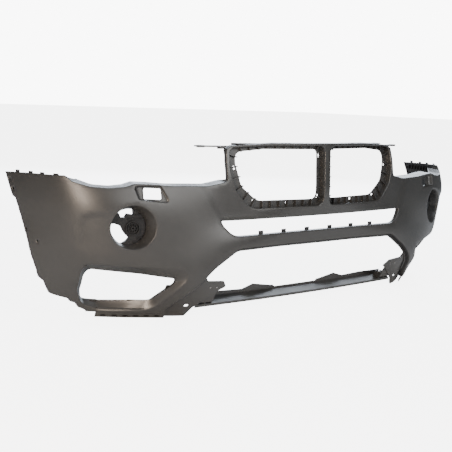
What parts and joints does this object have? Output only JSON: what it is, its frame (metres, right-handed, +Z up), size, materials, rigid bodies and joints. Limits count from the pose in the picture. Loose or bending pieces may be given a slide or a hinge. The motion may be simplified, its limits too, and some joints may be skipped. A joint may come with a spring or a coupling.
{
  "type": "bumper cover",
  "caption": "Primed front bumper cover for a car, with twin grille openings, an upper slot, a lower opening, side and fog lamp openings, and its clip rails and brackets.",
  "frame": {"origin": "middle of the footprint on the floor: halfway between the nose plane and the wing tips, on the plane of symmetry, at the height of the lower lip strips", "axes": "-Y is forward, out of the cover's front face; +X is the vehicle's left; +Z is up"},
  "size_m": [1.834, 0.4319, 0.529],
  "materials": {
    "primed_skin": "grey primer with a soft sheen",
    "black_plastic": "fine moulded grain",
    "grey_plastic": "moulded, lightly primed",
    "zinc_steel": "zinc plated"
  },
  "bodies": {
    "root": {"arm_spring_nuts": "zinc_steel", "bumper_skin": "primed_skin", "crossbar_screws": "zinc_steel", "fog_bracket_screws": "zinc_steel", "fog_lamp_bracket_left": "black_plastic", "fog_lamp_bracket_right": "black_plastic", "grille_clip_ring_left": "grey_plastic", "grille_clip_ring_right": "grey_plastic", "lower_corner_bracket_left": "primed_skin", "lower_corner_bracket_right": "primed_skin", "lower_crossbar": "primed_skin", "lower_grille_rail": "black_plastic", "lower_lip_strip_left": "grey_plastic", "lower_lip_strip_right": "grey_plastic", "side_grille_retainer_left": "grey_plastic", "side_grille_retainer_right": "grey_plastic", "slot_clip_rail": "grey_plastic", "upper_mount_rail": "grey_plastic", "wheel_arch_strip_left": "black_plastic", "wheel_arch_strip_right": "black_plastic", "wing_guide_left": "black_plastic", "wing_guide_right": "black_plastic"}
  },
  "joints": []
}
